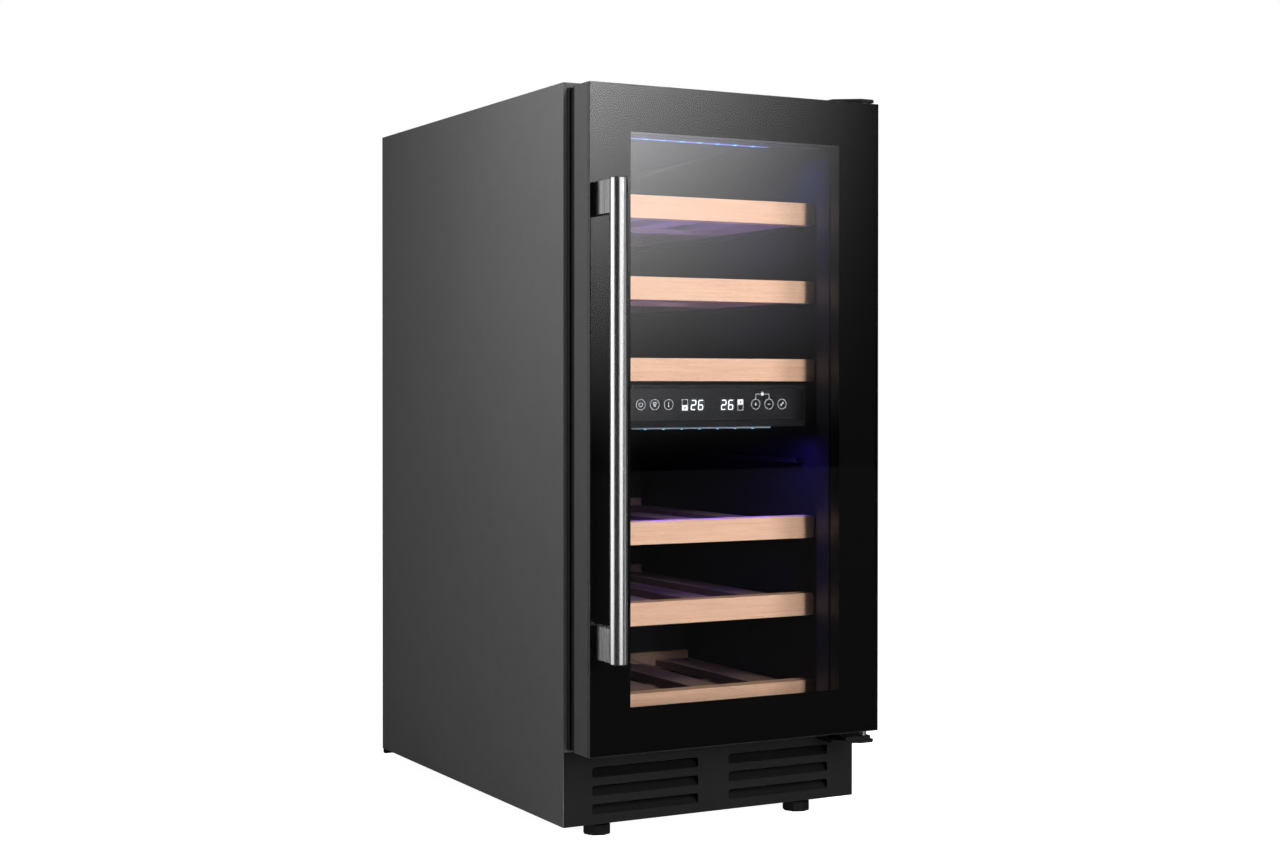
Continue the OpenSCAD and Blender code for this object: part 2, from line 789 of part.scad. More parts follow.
// Plan view of a hinge plate, with the pin's hole
module hinge_plate(z, t) {
    chamfer = 14;
    nose = plate_front + 18;
    translate([0, 0, z]) linear_extrude(t) difference() {
        polygon([
            [plate_x0, plate_rear], [plate_x0, nose], [plate_x0 + 2 * chamfer, plate_front],
            [plate_x1 - 5, plate_front], [plate_x1, plate_front + 5], [plate_x1, plate_rear]
        ]);
        translate([pivot_x, pivot_y]) circle(r = pin_r);
        for (x = hinge_screw_x, y = hinge_screw_y) translate([x, y]) circle(r = hinge_screw_r);
    }
}

module hinge_bracket_top() {
    color("#202022") difference() {
        hinge_plate(top_plate_z, plate_t);
        for (x = hinge_screw_x, y = hinge_screw_y)
            rod_z(x, y, cabinet_h - hinge_head_t, cabinet_h + cut, hinge_head_r + 0.2);
    }
}

module hinge_bracket_bottom() {
    color("#202022") difference() {
        union() {
            hinge_plate(low_plate_z, plate_t);
            block(riser_x0, riser_x1, plate_front + 6, -3, low_plate_z + plate_t, riser_top);
        }
        rod_z(pivot_x, pivot_y, low_plate_z - cut, riser_top + cut, pin_r);
        for (x = riser_screw_x) rod_z(x, riser_screw_y, low_plate_z - cut, riser_top + cut, riser_screw_r);
    }
}

module hinge_anchor_space(z0, z1) {
    block(plate_x0 - gap, sheet_x, 0, plate_rear + gap, z0, z1);
}

module hinge_anchor(z, dir) {
    z0 = dir > 0 ? z : z - anchor_t;
    difference() {
        block(plate_x0, sheet_x - gap, liner_t + 2 * gap, plate_rear, z0, z0 + anchor_t);
        for (x = hinge_screw_x, y = hinge_screw_y)
            rod_z(x, y, z0 - cut, z0 + anchor_t + cut, hinge_screw_r);
    }
}

module hinge_anchors() {
    color("#77797c") {
        hinge_anchor(top_plate_z, -1);
        hinge_anchor(low_plate_z + plate_t, 1);
    }
}

// Each pin stands in its plate and reaches into the bush in the door.
module hinge_pins() {
    color("#c8c9cc") {
        rod_z(pivot_x, pivot_y, door_z1 - bush_h + 2, cabinet_h, pin_r);
        rod_z(pivot_x, pivot_y, low_plate_z, door_z0 + bush_h - 2, pin_r);
    }
}

module cabinet_screws() {
    color("#a9abae") {
        both_sides() for (z = cover_screw_z) {
            rod_y(cover_screw_x, z, foam_y - 6, rear_y, cover_screw_r);
            rod_y(cover_screw_x, z, rear_y, cabinet_d, 2 * cover_screw_r);
        }
        for (x = hinge_screw_x, y = hinge_screw_y) {
            rod_z(x, y, cabinet_h - hinge_screw_len, cabinet_h - hinge_head_t, hinge_screw_r);
            rod_z(x, y, cabinet_h - hinge_head_t, cabinet_h, hinge_head_r);
            rod_z(x, y, low_plate_z, low_plate_z + hinge_screw_len, hinge_screw_r);
            rod_z(x, y, low_plate_z - hinge_head_t, low_plate_z, hinge_head_r);
        }
        for (x = riser_screw_x) {
            rod_z(x, riser_screw_y, low_plate_z, riser_top, riser_screw_r);
            rod_z(x, riser_screw_y, riser_top, riser_top + 1.6, 3.4);
        }
    }
}

// ---- Feet ----

// Levelling foot: eight-sided body, collar and stud
module foot(x, y) {
    color("#141415") translate([x, y, 0]) {
        cylinder(r = foot_dia / 2, h = foot_h - 6, $fn = 8);
        cylinder(r = boss_r, h = foot_h - gap);
        cylinder(r = stud_r, h = pan_z + boss_h + 2);
    }
}

module foot_front_left() {
    foot(-foot_x, foot_front);
}

module foot_front_right() {
    foot(foot_x, foot_front);
}

module foot_rear_left() {
    foot(-foot_x, foot_rear_y);
}

module foot_rear_right() {
    foot(foot_x, foot_rear_y);
}

// ---- Door ----

module handle_screw_holes(y0, y1, r) {
    for (z = post_z, dz = handle_screw_z) rod_y(handle_x, z + dz, y0, y1, r);
}

module door_glass_outer() {
    color([0.1, 0.1, 0.12, 0.5]) difference() {
        wide(door_x, door_y, glass_y, door_z0, door_z1);
        handle_screw_holes(door_y - cut, glass_y + cut, handle_screw_r + 0.4);
    }
}

module glass_spacer() {
    color("#2a2a2c")
        frame_ring(inner_pane_x, inner_pane_z0, inner_pane_z1, spacer_w, glass_y, inner_pane_y);
}

module door_glass_inner() {
    color([0.6, 0.65, 0.7, 0.3])
        wide(inner_pane_x, inner_pane_y, inner_pane_y + glass_t, inner_pane_z0, inner_pane_z1);
}

// Rods on the hinge's axis in the top and the bottom of the door, running past its edge by e
module bush_rods(r, e) {
    rod_z(pivot_x, pivot_y, door_z1 - bush_h, door_z1 + e, r);
    rod_z(pivot_x, pivot_y, door_z0 - e, door_z0 + bush_h, r);
}

module door_frame() {
    web_w = 30;
    color("#47484b") difference() {
        union() {
            frame_ring(door_x, door_z0, door_z1, frame_wall, glass_y, frame_y);
            frame_ring(door_x, door_z0, door_z1, web_w, frame_y - frame_wall, frame_y);
            frame_ring(door_x, door_z0, door_z1, web_w - 4, glass_y, glass_y + lip_t);
            both_sides() for (z = [door_z0, door_z1 - corner_w])
                block(door_x - corner_w, door_x, glass_y, frame_y, z, z + corner_w);
        }
        bush_rods(bush_r, cut);
        handle_screw_holes(glass_y - cut, glass_y + lip_t + cut, handle_screw_r + 0.4);
    }
}

// Plastic frame that finishes the door's inside between the window and the gasket
module door_liner() {
    wall = 2.5;
    x = window_x + liner_w;
    z0 = window_z0 - liner_w;
    z1 = window_z1 + liner_w;
    color("#242426") {
        frame_ring(x, z0, z1, liner_w, liner_back - wall, liner_back, sill_drop);
        frame_ring(x, z0, z1, wall, frame_y + wall_end, liner_back - wall);
        frame_ring(window_x + wall, sill_z - wall, window_z1 + wall, wall,
                   inner_pane_y + glass_t + wall_end, liner_back - wall);
    }
}

// Magnetic gasket: foot, bellows and head
module door_gasket() {
    x = door_x - gasket_inset;
    z0 = door_z0 + gasket_inset;
    z1 = door_z1 - gasket_inset;
    head_y = -gasket_gap - 6;
    color("#141415") {
        frame_ring(x, z0, z1, gasket_w, frame_y, frame_y + 3);
        frame_ring(x - 2.5, z0 + 2.5, z1 - 2.5, gasket_w - 5, frame_y + 3, head_y);
        frame_ring(x, z0, z1, gasket_w - 1, head_y, -gasket_gap);
    }
}

module door_bushes() {
    flange = 1.2;
    color("#e4e2da") difference() {
        union() {
            bush_rods(bush_r, 0);
            rod_z(pivot_x, pivot_y, door_z1, door_z1 + flange, bush_r + 1);
            rod_z(pivot_x, pivot_y, door_z0 - flange, door_z0, bush_r + 1);
        }
        rod_z(pivot_x, pivot_y, door_z0 - flange - cut, door_z1 + flange + cut, pin_r + pin_play);
    }
}

module handle_bar() {
    r = handle_dia / 2;
    edge = 1;
    h = handle_z1 - handle_z0;
    color("#c9cacc") translate([handle_x, handle_y, handle_z0]) rotate_extrude() {
        translate([0, edge]) square([r, h - 2 * edge]);
        square([r - edge, h]);
        for (z = [edge, h - edge]) translate([r - edge, z]) circle(r = edge);
    }
}

module handle_posts() {
    color("#b9bbbe") for (z = post_z) difference() {
        block(handle_x - post_w / 2, handle_x + post_w / 2, handle_y, door_y, z - post_h / 2, z + post_h / 2);
        rod_z(handle_x, handle_y, z - post_h, z + post_h, handle_dia / 2);
        handle_screw_holes(door_y - handle_screw_reach, door_y + cut, handle_screw_r);
    }
}

module handle_screws() {
    head_y = glass_y + lip_t;
    color("#a9abae") {
        handle_screw_holes(door_y - handle_screw_reach, head_y, handle_screw_r);
        handle_screw_holes(head_y, head_y + 3, 4.5);
    }
}

// ---- Shelves ----

// Wooden bar with round corners in the front view
module shelf_front(i) {
    z0 = shelf_z[i];
    z1 = z0 + front_h;
    x = shelf_x - front_r;
    color("#dcb68c") {
        wide(x, shelf_setback, rack_y, z0, z1);
        wide(shelf_x, shelf_setback, rack_y, z0 + front_r, z1 - front_r);
        both_sides() for (z = [z0 + front_r, z1 - front_r]) rod_y(x, z, shelf_setback, rack_y, front_r);
    }
}

module shelf_rack(i) {
    z = shelf_z[i];
    rail_back = (i == 5 ? step_y : duct_y) - rail_play;
    rail_y = rail_back - rail_t;
    slat_z = z + batten_z + batten_h;
    slat_low = slat_z + slat_t - slat_step;
    color("#cfa67c") {
        // side battens that slide on the runners
        both_sides() block(shelf_x - batten_w, shelf_x, rack_y, rail_back, z + batten_z, slat_low);
        // cross battens at the front, the middle and the rear
        for (y = [rack_y, (rack_y + rail_y) / 2 - batten_w, rail_y - 2 * batten_w])
            wide(shelf_x - batten_w, y, y + 2 * batten_w, z + batten_z + 1, slat_z);
        for (k = [0 : slat_n - 1]) {
            x = -shelf_x + slat_inset + k * slat_pitch;
            w = slat_w / 2;
            block(x - w + slat_step, x + w - slat_step, rack_y, rail_y, slat_z, slat_low);
            block(x - w, x + w, rack_y + slat_end, rail_y - slat_end, slat_z, slat_z + slat_t);
        }
        wide(shelf_x, rail_y, rail_back, z + batten_z + 3, z + front_h);
    }
}

module shelf_1_front() { shelf_front(0); }
module shelf_1_rack() { shelf_rack(0); }
module shelf_2_front() { shelf_front(1); }
module shelf_2_rack() { shelf_rack(1); }
module shelf_3_front() { shelf_front(2); }
module shelf_3_rack() { shelf_rack(2); }
module shelf_4_front() { shelf_front(3); }
module shelf_4_rack() { shelf_rack(3); }
module shelf_5_front() { shelf_front(4); }
module shelf_5_rack() { shelf_rack(4); }
module shelf_6_front() { shelf_front(5); }
module shelf_6_rack() { shelf_rack(5); }

placed() side_panel_left();
placed() side_panel_right();
placed() top_panel();
placed() back_panel();
placed() compressor_cover();
placed() base_pan();
placed() machine_panel();
placed() kick_grille();
placed() inner_liner();
placed() insulation_foam();
placed() shelf_runners();
placed() zone_divider();
placed() control_panel();
placed() control_board();
placed() led_strips();
placed() evaporator_covers();
placed() evaporators();
placed() temperature_sensors();
placed() fan_motors();
placed() fan_upper();
placed() fan_lower();
placed() compressor_lower_shell();
placed() compressor_upper_shell();
placed() compressor_grommets();
placed() condenser_coil();
placed() condenser_fan_frame();
placed() condenser_fan();
placed() drain_tray();
placed() power_inlet();
placed() hinge_bracket_top();
placed() hinge_bracket_bottom();
placed() hinge_anchors();
placed() hinge_pins();
placed() cabinet_screws();
placed() foot_front_left();
placed() foot_front_right();
placed() foot_rear_left();
placed() foot_rear_right();
placed() door_glass_outer();
placed() glass_spacer();
placed() door_glass_inner();
placed() door_frame();
placed() door_liner();
placed() door_gasket();
placed() door_bushes();
placed() handle_bar();
placed() handle_posts();
placed() handle_screws();
placed() shelf_1_front();
placed() shelf_1_rack();
placed() shelf_2_front();
placed() shelf_2_rack();
placed() shelf_3_front();
placed() shelf_3_rack();
placed() shelf_4_front();
placed() shelf_4_rack();
placed() shelf_5_front();
placed() shelf_5_rack();
placed() shelf_6_front();
placed() shelf_6_rack();
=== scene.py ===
"""Looks, lights and camera for the two-zone wine cooler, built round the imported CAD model."""
import json
import math

import bmesh
import bpy
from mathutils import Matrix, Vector


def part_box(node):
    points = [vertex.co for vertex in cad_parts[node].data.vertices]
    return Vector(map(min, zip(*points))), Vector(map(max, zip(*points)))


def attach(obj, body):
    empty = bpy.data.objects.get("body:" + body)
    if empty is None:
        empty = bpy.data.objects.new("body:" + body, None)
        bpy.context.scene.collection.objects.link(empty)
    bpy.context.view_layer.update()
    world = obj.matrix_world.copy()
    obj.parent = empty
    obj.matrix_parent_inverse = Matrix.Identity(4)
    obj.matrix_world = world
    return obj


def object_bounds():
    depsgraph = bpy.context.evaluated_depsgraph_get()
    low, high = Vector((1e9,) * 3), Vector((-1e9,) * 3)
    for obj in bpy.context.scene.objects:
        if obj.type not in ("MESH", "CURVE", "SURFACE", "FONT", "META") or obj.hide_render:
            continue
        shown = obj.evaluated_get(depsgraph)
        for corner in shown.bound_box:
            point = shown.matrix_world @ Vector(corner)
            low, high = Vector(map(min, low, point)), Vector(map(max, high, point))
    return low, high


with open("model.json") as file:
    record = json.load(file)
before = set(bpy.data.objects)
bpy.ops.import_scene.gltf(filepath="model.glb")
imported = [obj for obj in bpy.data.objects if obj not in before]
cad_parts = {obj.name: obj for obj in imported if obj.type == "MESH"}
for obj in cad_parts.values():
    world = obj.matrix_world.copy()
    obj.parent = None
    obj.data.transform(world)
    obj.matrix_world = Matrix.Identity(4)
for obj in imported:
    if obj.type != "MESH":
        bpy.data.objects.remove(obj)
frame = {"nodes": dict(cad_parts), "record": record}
cad_low, cad_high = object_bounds()
nodes = frame["nodes"]
MM = 0.001


# ---- Materials -------------------------------------------------------------

class Graph:
    """One material's node tree, with a short call for each kind of node used here."""

    def __init__(self, name):
        self.material = bpy.data.materials.new(name)
        self.material.use_nodes = True
        self.tree = self.material.node_tree
        self.tree.nodes.clear()
        self.output = self.tree.nodes.new("ShaderNodeOutputMaterial")

    def node(self, kind, inputs=(), **settings):
        made = self.tree.nodes.new("ShaderNode" + kind)
        for key, value in settings.items():
            setattr(made, key, value)
        for key, value in dict(inputs).items():
            self.feed(made.inputs[key], value)
        return made

    def feed(self, socket, value):
        if isinstance(value, bpy.types.NodeSocket):
            self.tree.links.new(value, socket)
        elif isinstance(value, tuple) and len(value) == 3 and socket.type == "RGBA":
            socket.default_value = (*value, 1.0)
        else:
            socket.default_value = value

    def place(self, stretch=(1, 1, 1)):
        """The piece's own coordinates in metres, stretched along each axis."""
        coordinates = self.node("TexCoord").outputs["Object"]
        return self.node("Mapping", {"Vector": coordinates, "Scale": stretch}).outputs[0]

    def noise(self, scale, stretch=(1, 1, 1), detail=4.0, roughness=0.55):
        inputs = {
            "Vector": self.place(stretch), "Scale": scale, "Detail": detail, "Roughness": roughness}
        return self.node("TexNoise", inputs).outputs[0]

    def cells(self, scale, stretch=(1, 1, 1), output="Distance"):
        inputs = {"Vector": self.place(stretch), "Scale": scale}
        return self.node("TexVoronoi", inputs).outputs[output]

    def math(self, operation, a, b=0.0, clamp=False):
        made = self.node("Math", operation=operation, use_clamp=clamp)
        self.feed(made.inputs[0], a)
        self.feed(made.inputs[1], b)
        return made.outputs[0]

    def spread(self, value, low, high, start=0.0, end=1.0):
        """value from start..end becomes low..high"""
        inputs = {
            "Value": value, "From Min": start, "From Max": end, "To Min": low, "To Max": high}
        return self.node("MapRange", inputs).outputs[0]

    def ramp(self, factor, *stops):
        """Colour for a factor, from (place, colour) stops"""
        made = self.node("ValToRGB", {"Fac": factor})
        elements = made.color_ramp.elements
        while len(elements) < len(stops):
            elements.new(0.5)
        for element, (place, colour) in zip(elements, stops):
            element.position = place
            element.color = (*colour, 1.0)
        return made.outputs[0]

    def mix(self, factor, a, b, blend="MIX"):
        made = self.node("Mix", data_type="RGBA", blend_type=blend)
        self.feed(made.inputs[0], factor)
        self.feed(made.inputs[6], a)
        self.feed(made.inputs[7], b)
        return made.outputs[2]

    def bump(self, height, depth, strength=1.0):
        inputs = {"Height": height, "Distance": depth, "Strength": strength}
        return self.node("Bump", inputs).outputs[0]

    def principled(self, **inputs):
        names = {key.replace("_", " "): value for key, value in inputs.items()}
        return self.node("BsdfPrincipled", names)

    def finish(self, shader):
        self.tree.links.new(shader.outputs[0], self.output.inputs["Surface"])
        return self.material


def scaled(colour, factor):
    return tuple(min(1.0, channel * factor) for channel in colour)


def coated(name, colour, roughness, grain=0.0009, depth=0.00003, coat=0.0):
    """Powder coat or moulded plastic: a fine even grain over a slow change of tone"""
    g = Graph(name)
    slow = g.noise(7.0, detail=3.0)
    tone = g.ramp(slow, (0.3, scaled(colour, 0.97)), (0.7, scaled(colour, 1.03)))
    fine = g.noise(1 / grain, detail=2.0)
    rough = g.spread(g.noise(45.0, detail=3.0), roughness - 0.04, roughness + 0.04, 0.3, 0.7)
    return g.finish(g.principled(
        Base_Color=tone, Roughness=rough, Specular_IOR_Level=0.3, Normal=g.bump(fine, depth),
        Coat_Weight=coat, Coat_Roughness=0.08))


def spangled_zinc(name):
    """Zinc-coated sheet with its crystal spangle"""
    g = Graph(name)
    crystals = g.cells(110.0, output="Color")
    grey = g.node("RGBToBW", {"Color": crystals}).outputs[0]
    tone = g.ramp(grey, (0.15, (0.34, 0.35, 0.36)), (0.85, (0.5, 0.51, 0.52)))
    rough = g.spread(grey, 0.34, 0.52)
    return g.finish(g.principled(
        Base_Color=tone, Metallic=1.0, Roughness=rough,
        Normal=g.bump(g.noise(420.0), 0.00004)))


def brushed_steel(name, stretch, colour=(0.72, 0.72, 0.73), roughness=0.26):
    """Stainless steel with fine scratches along the axis whose stretch is smallest"""
    g = Graph(name)
    scratches = g.noise(1.0, stretch, detail=3.0, roughness=0.6)
    tone = g.ramp(scratches, (0.3, scaled(colour, 0.94)), (0.7, scaled(colour, 1.03)))
    rough = g.spread(scratches, roughness - 0.03, roughness + 0.03, 0.3, 0.7)
    return g.finish(g.principled(Base_Color=tone, Metallic=1.0, Roughness=rough))


def plain_metal(name, colour, roughness, wear=0.06):
    """Bare metal with worn, uneven polish"""
    g = Graph(name)
    marks = g.noise(160.0, detail=6.0, roughness=0.7)
    tone = g.ramp(marks, (0.3, scaled(colour, 0.85)), (0.7, colour))
    rough = g.spread(marks, roughness - wear, roughness + wear, 0.3, 0.7)
    return g.finish(g.principled(
        Base_Color=tone, Metallic=1.0, Roughness=rough, Normal=g.bump(g.noise(900.0), 0.000008)))


def rubber(name):
    """Black rubber, a little dusty"""
    g = Graph(name)
    dust = g.noise(60.0, detail=5.0)
    tone = g.ramp(dust, (0.35, (0.004, 0.004, 0.0042)), (0.75, (0.008, 0.008, 0.0085)))
    return g.finish(g.principled(
        Base_Color=tone, Roughness=g.spread(dust, 0.6, 0.75), Specular_IOR_Level=0.2,
        Normal=g.bump(g.noise(1500.0), 0.00003)))


def beech(name, along, light, dark):
    """Oiled beech with its grain along x or y: broad tone, fine fibre and short dark flecks"""
    g = Graph(name)

    def stretched(length, across):
        return (length, across, across) if along == "x" else (across, length, across)

    broad = g.noise(1.0, stretched(2.5, 34.0), detail=3.0)
    fibre = g.noise(1.0, stretched(16.0, 620.0), detail=5.0, roughness=0.65)
    fleck = g.noise(1.0, stretched(190.0, 1150.0), detail=1.0)
    tone = g.ramp(broad, (0.3, scaled(light, 0.9)), (0.7, light))
    fibres = g.ramp(fibre, (0.35, dark), (0.62, light))
    tone = g.mix(0.42, tone, fibres)
    flecks = g.spread(fleck, 0.0, 0.55, 0.6, 0.72)
    tone = g.mix(flecks, tone, scaled(dark, 0.72))
    height = g.math("SUBTRACT", fibre, g.math("MULTIPLY", flecks, 0.6))
    rough = g.spread(fibre, 0.42, 0.58, 0.3, 0.7)
    return g.finish(g.principled(Base_Color=tone, Roughness=rough, Normal=g.bump(height, 0.00006)))


def foam(name):
    """Cut yellow insulation foam"""
    g = Graph(name)
    bubbles = g.cells(700.0)
    lumps = g.noise(30.0, detail=5.0)
    tone = g.ramp(lumps, (0.3, (0.68, 0.56, 0.26)), (0.7, (0.84, 0.74, 0.42)))
    height = g.math("ADD", g.math("MULTIPLY", bubbles, 0.3), lumps)
    return g.finish(g.principled(Base_Color=tone, Roughness=0.9, Normal=g.bump(height, 0.0012)))


def circuit_board(name):
    """Green board with tracks and round pads"""
    g = Graph(name)
    tracks = g.node("TexBrick", {
        "Vector": g.place((240.0, 1.0, 420.0)), "Color1": (0.01, 0.12, 0.04),
        "Color2": (0.015, 0.17, 0.06), "Mortar": (0.03, 0.26, 0.09), "Scale": 1.0,
        "Mortar Size": 0.06})
    pads = g.spread(g.cells(170.0), 1.0, 0.0, 0.1, 0.16)
    tone = g.mix(pads, tracks.outputs[0], (0.62, 0.6, 0.55))
    return g.finish(g.principled(
        Base_Color=tone, Roughness=g.spread(pads, 0.35, 0.2), Metallic=pads,
        Normal=g.bump(tracks.outputs[1], 0.00004)))


def facing(g, axis, limit):
    """1 where the surface's own normal lies within the limit of an axis, either way round"""
    normal = g.node("TexCoord").outputs["Normal"]
    part = g.node("SeparateXYZ", {"Vector": normal}).outputs[axis]
    return g.math("GREATER_THAN", g.math("ABSOLUTE", part), limit)


def pane(name, tint, mirror, ground_edge):
    """Float glass: it mirrors by its Fresnel share and lets the rest through, slightly tinted"""
    g = Graph(name)
    wipe = g.noise(9.0, detail=5.0, roughness=0.6)
    fresnel = g.node("Fresnel", {"IOR": 1.45}).outputs[0]
    share = g.math("MULTIPLY", fresnel, mirror)
    clear = g.node("BsdfTransparent", {"Color": tint})
    rough = g.spread(wipe, 0.0, 0.02, 0.4, 0.8)
    gloss = g.node("BsdfGlossy", {"Color": (1, 1, 1), "Roughness": rough})
    glass = g.node("MixShader", {0: share, 1: clear.outputs[0], 2: gloss.outputs[0]})
    ground = g.principled(Base_Color=ground_edge, Roughness=g.spread(wipe, 0.22, 0.34))
    shaders = {0: facing(g, 1, 0.95), 1: ground.outputs[0], 2: glass.outputs[0]}
    return g.finish(g.node("MixShader", shaders))


def printed_black(name):
    """Black ceramic ink fired on the back of the glass"""
    g = Graph(name)
    speck = g.noise(500.0, detail=3.0)
    tone = g.ramp(speck, (0.4, (0.0006, 0.0006, 0.0007)), (0.7, (0.0014, 0.0014, 0.0015)))
    return g.finish(g.principled(
        Base_Color=tone, Roughness=g.spread(speck, 0.55, 0.7), Specular_IOR_Level=0.1))


def panel_gloss(name):
    """Black acrylic over the touch keys"""
    g = Graph(name)
    wipe = g.noise(25.0, detail=4.0)
    tone = g.ramp(wipe, (0.3, (0.004, 0.004, 0.0045)), (0.7, (0.006, 0.006, 0.0065)))
    return g.finish(g.principled(
        Base_Color=tone, Roughness=g.spread(wipe, 0.3, 0.36), IOR=2.3, Specular_IOR_Level=1.0))


def light_strip(name, pitch, strength):
    """Frosted lens that glows blue on its underside, brighter and greener under each diode"""
    g = Graph(name)
    x = g.node("SeparateXYZ", {"Vector": g.place()}).outputs[0]
    wave = g.math("COSINE", g.math("MULTIPLY", x, 2 * math.pi / pitch))
    spot = g.spread(wave, 0.0, 1.0, 0.6, 1.0)
    colour = g.mix(spot, (0.06, 0.1, 1.0), (0.08, 0.6, 1.0))
    normal = g.node("TexCoord").outputs["Normal"]
    down = g.math("LESS_THAN", g.node("SeparateXYZ", {"Vector": normal}).outputs[2], -0.5)
    level = g.math("MULTIPLY", g.spread(spot, 0.55 * strength, 1.9 * strength), down)
    return g.finish(g.principled(
        Base_Color=(0.35, 0.42, 0.5), Roughness=g.spread(g.noise(700.0), 0.3, 0.45),
        Emission_Color=colour, Emission_Strength=level))


def glowing(name, colour, strength):
    """A lit symbol or diode"""
    g = Graph(name)
    grain = g.noise(2500.0, detail=1.0)
    tone = g.ramp(grain, (0.3, scaled(colour, 0.88)), (0.7, colour))
    return g.finish(g.principled(
        Base_Color=(0.5, 0.5, 0.5), Roughness=0.4,
        Emission_Color=tone, Emission_Strength=strength))


LED_PITCH = 23.7 * MM
MATERIALS = {
    "cabinet_paint": coated("satin_paint", (0.068, 0.068, 0.069), 0.5),
    "galvanised_sheet": spangled_zinc("zinc_sheet"),
    "black_steel": coated(
        "black_powder_coat", (0.0055, 0.0055, 0.0057), 0.45, grain=0.0011, depth=0.00004),
    "frame_paint": coated("frame_coat", (0.043, 0.043, 0.044), 0.5),
    "compressor_paint": coated(
        "black_enamel", (0.012, 0.012, 0.013), 0.3, grain=0.003, coat=0.3),
    "liner_plastic": coated(
        "liner_plastic", (0.013, 0.013, 0.0145), 0.45, grain=0.0007, depth=0.00004),
    "fan_plastic": coated("fan_plastic", (0.028, 0.028, 0.03), 0.4, grain=0.0006),
    "foot_plastic": coated(
        "foot_plastic", (0.005, 0.005, 0.0055), 0.5, grain=0.0008, depth=0.00006),
    "white_plastic": coated("white_plastic", (0.66, 0.65, 0.61), 0.4),
    "circuit_board": circuit_board("circuit_board"),
    "led_lens": light_strip("led_lens", LED_PITCH, 0.65),
    "foam": foam("foam"),
    "black_glass": panel_gloss("panel_acrylic"),
    "tinted_glass": pane("outer_pane", (0.93, 0.93, 0.94), 1.0, (0.03, 0.03, 0.032)),
    "clear_glass": pane("inner_pane", (0.97, 0.975, 0.98), 0.1, (0.2, 0.24, 0.23)),
    "bare_aluminium": plain_metal("aluminium", (0.72, 0.73, 0.74), 0.34),
    "spacer_metal": plain_metal("spacer_metal", (0.035, 0.035, 0.038), 0.42),
    "copper_tube": plain_metal("copper", (0.72, 0.34, 0.2), 0.3),
    "bright_steel": plain_metal("zinc_plated_steel", (0.66, 0.66, 0.68), 0.26),
    "brushed_stainless": brushed_steel("brushed_stainless", (900.0, 900.0, 10.0)),
    "black_rubber": rubber("black_rubber"),
    "beech_front": beech("beech_front", "x", (0.84, 0.51, 0.33), (0.6, 0.32, 0.18)),
    "beech_slats": beech("beech_slats", "y", (0.32, 0.2, 0.135), (0.21, 0.125, 0.08)),
}

# Bevel widths in millimetres for the nodes whose edges catch light
BEVELS = {
    "side_panel_left": 0.5, "side_panel_right": 0.5, "top_panel": 0.4, "base_pan": 0.4,
    "kick_grille": 0.5, "hinge_bracket_top": 0.4, "hinge_bracket_bottom": 0.4,
    "zone_divider": 0.4, "control_panel": 0.25,
    "door_frame": 0.5, "door_glass_outer": 0.5, "handle_posts": 0.5,
}
SHELF_BEVEL = 1.0
WELD_DISTANCE = 0.00001
SHARP_ANGLE = math.radians(40)


def round_edges(thing, width):
    """Joins the frame's split vertices and rounds the sharp edges"""
    weld = thing.modifiers.new("weld", "WELD")
    weld.merge_threshold = WELD_DISTANCE
    bevel = thing.modifiers.new("round", "BEVEL")
    bevel.width = width
    bevel.segments = 2
    bevel.limit_method = "ANGLE"
    bevel.angle_limit = SHARP_ANGLE
    bevel.use_clamp_overlap = True
    bevel.harden_normals = True


def dress_frame():
    """Gives each CAD node its slot's material and its rounded edges"""
    for part in frame["record"]["subparts"]:
        thing = nodes[part["node"]]
        thing.data.materials.clear()
        thing.data.materials.append(MATERIALS[part["material_slot"]])
        if part["node"] in BEVELS:
            round_edges(thing, BEVELS[part["node"]] * MM)
        elif part["node"].startswith("shelf_") and part["node"].endswith("_front"):
            round_edges(thing, SHELF_BEVEL * MM)


# ---- Pieces added to the frame ---------------------------------------------

def new_piece(name, mesh_builder, body, material):
    """A mesh piece that rides on a body, filled by mesh_builder(bmesh)"""
    mesh = bpy.data.meshes.new(name)
    work = bmesh.new()
    mesh_builder(work)
    bmesh.ops.recalc_face_normals(work, faces=work.faces)
    work.to_mesh(mesh)
    work.free()
    thing = bpy.data.objects.new(name, mesh)
    bpy.context.scene.collection.objects.link(thing)
    mesh.materials.append(material)
    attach(thing, body)
    return thing


def add_prism(work, outline, y0, y1):
    """Closed prism from an (x, z) outline, between two depths"""
    front = [work.verts.new((x, y0, z)) for x, z in outline]
    back = [work.verts.new((x, y1, z)) for x, z in outline]
    work.faces.new(front)
    work.faces.new(back[::-1])
    for i in range(len(outline)):
        j = (i + 1) % len(outline)
        work.faces.new((front[i], back[i], back[j], front[j]))


def add_ring(work, outer, inner, y0, y1):
    """Closed ring between two (x, z) outlines with the same number of points"""
    front_outer, front_inner, back_outer, back_inner = [
        [work.verts.new((x, y, z)) for x, z in outline]
        for y in (y0, y1) for outline in (outer, inner)]
    for i in range(len(outer)):
        j = (i + 1) % len(outer)
        work.faces.new((front_outer[i], front_outer[j], front_inner[j], front_inner[i]))
        work.faces.new((back_outer[j], back_outer[i], back_inner[i], back_inner[j]))
        work.faces.new((front_outer[j], front_outer[i], back_outer[i], back_outer[j]))
        work.faces.new((front_inner[i], front_inner[j], back_inner[j], back_inner[i]))


def rectangle(x0, x1, z0, z1):
    return [(x0, z0), (x1, z0), (x1, z1), (x0, z1)]


def circle(x, z, radius, steps=40):
    turns = [2 * math.pi * i / steps for i in range(steps)]
    return [(x + radius * math.cos(t), z + radius * math.sin(t)) for t in turns]


